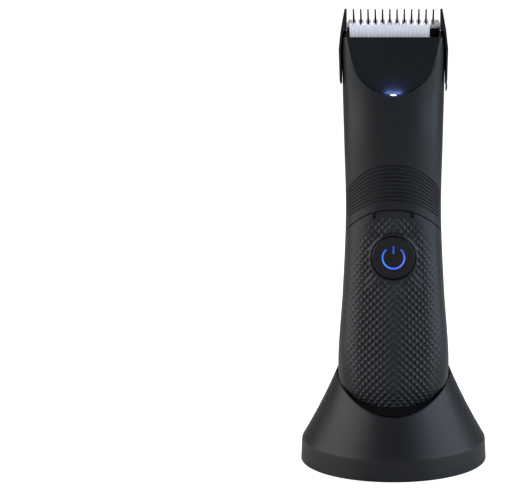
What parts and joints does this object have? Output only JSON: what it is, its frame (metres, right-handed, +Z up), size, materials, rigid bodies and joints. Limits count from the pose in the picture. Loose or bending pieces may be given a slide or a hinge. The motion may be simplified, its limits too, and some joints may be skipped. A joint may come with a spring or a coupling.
{
  "type": "body groomer",
  "caption": "Cordless body groomer with an angled ceramic blade head, clip-on guide comb and knurled grip, standing in a flared round charging dock.",
  "frame": {"origin": "centre of the dock's foot, on the surface it stands on", "axes": "+Z up along the groomer, -Y towards the front with the power button, +X to the right seen from the front's own viewer"},
  "size_m": [0.0696, 0.0696, 0.1671],
  "materials": {
    "dock_satin_black": "satin moulded ABS with a fine texture",
    "cup_matte_black": "matte moulded ABS",
    "foot_rubber": "dull rubber",
    "screw_steel": "plated steel",
    "board_green": "solder-masked circuit board",
    "inlet_metal": "stamped steel",
    "holder_black": "matte nylon",
    "contact_gold": "gold-plated brass",
    "casing_satin_black": "satin black ABS",
    "grip_knurled_black": "soft-touch panel with a diamond knurl",
    "seal_rubber": "silicone rubber",
    "chassis_grey": "plain nylon",
    "switch_grey": "moulded switch",
    "led_white": "clear resin",
    "cell_wrap": "shrink wrap",
    "tab_nickel": "nickel strip",
    "motor_steel": "plated steel",
    "lead_red": "PVC insulation",
    "lens_glow": "frosted lens, lit",
    "button_satin_black": "satin black cap",
    "symbol_blue_glow": "translucent, lit blue",
    "cam_white": "acetal",
    "carrier_matte_black": "matte ABS",
    "blade_steel": "ground stainless steel",
    "spring_steel": "spring steel",
    "blade_ceramic": "ground white ceramic",
    "yoke_black": "glass-filled nylon",
    "comb_black": "satin polypropylene"
  },
  "bodies": {
    "dock": {"dock_shell": "dock_satin_black", "dock_cup": "cup_matte_black", "dock_base_plate": "cup_matte_black", "dock_foot_ring": "foot_rubber", "dock_screws": "screw_steel", "dock_pcb": "board_green", "dock_usb_inlet": "inlet_metal", "charge_pin_holder": "holder_black"},
    "pin_left": {"charge_pin_left": "contact_gold"},
    "pin_right": {"charge_pin_right": "contact_gold"},
    "handle": {"rear_shell": "casing_satin_black", "neck_shell": "casing_satin_black", "grip_panel": "grip_knurled_black", "contact_plate": "holder_black", "charge_contacts": "contact_gold", "body_gasket": "seal_rubber", "housing_screws": "screw_steel", "chassis": "chassis_grey", "main_pcb": "board_green", "tact_switch": "switch_grey", "button_led": "led_white", "button_seal": "seal_rubber", "battery": "cell_wrap", "battery_tabs": "tab_nickel", "motor_can": "motor_steel", "motor_leads": "lead_red", "motor_bracket": "tab_nickel", "motor_seal": "seal_rubber", "spotlight_led": "led_white", "led_lens": "lens_glow"},
    "button": {"power_button": "button_satin_black", "power_symbol": "symbol_blue_glow"},
    "rotor": {"motor_shaft": "motor_steel", "eccentric_cam": "cam_white"},
    "blade_head": {"blade_carrier": "carrier_matte_black", "fixed_blade": "blade_steel", "blade_spring": "spring_steel", "blade_screws": "screw_steel"},
    "cutter": {"moving_blade": "blade_ceramic", "drive_yoke": "yoke_black"},
    "comb": {"guide_comb": "comb_black"}
  },
  "joints": [
    {"name": "handle_lift", "type": "slide", "parent": "dock", "child": "handle", "axis": [0, 0, 1], "range_m": [0, 0.075]},
    {"name": "charge_pin_left_press", "type": "slide", "parent": "dock", "child": "pin_left", "axis": [0, 0, -1], "range_m": [0, 0.0008], "stiffness_N_per_m": 200},
    {"name": "charge_pin_right_press", "type": "slide", "parent": "dock", "child": "pin_right", "axis": [0, 0, -1], "range_m": [0, 0.0008], "stiffness_N_per_m": 200},
    {"name": "button_press", "type": "slide", "parent": "handle", "child": "button", "axis": [0, 1, 0], "range_m": [0, 0.0008], "stiffness_N_per_m": 800},
    {"name": "motor_spin", "type": "hinge", "parent": "handle", "child": "rotor", "pos_m": [0, -0.0075, 0.127], "axis": [0, 0, 1], "continuous": true},
    {"name": "blade_head_release", "type": "slide", "parent": "handle", "child": "blade_head", "axis": [0, 0, 1], "range_m": [0, 0.014]},
    {"name": "blade_stroke", "type": "slide", "parent": "blade_head", "child": "cutter", "axis": [1, 0, 0], "range_m": [0, 0.0027]},
    {"name": "comb_slide", "type": "slide", "parent": "blade_head", "child": "comb", "axis": [0, 0, 1], "range_m": [0, 0.035]}
  ]
}
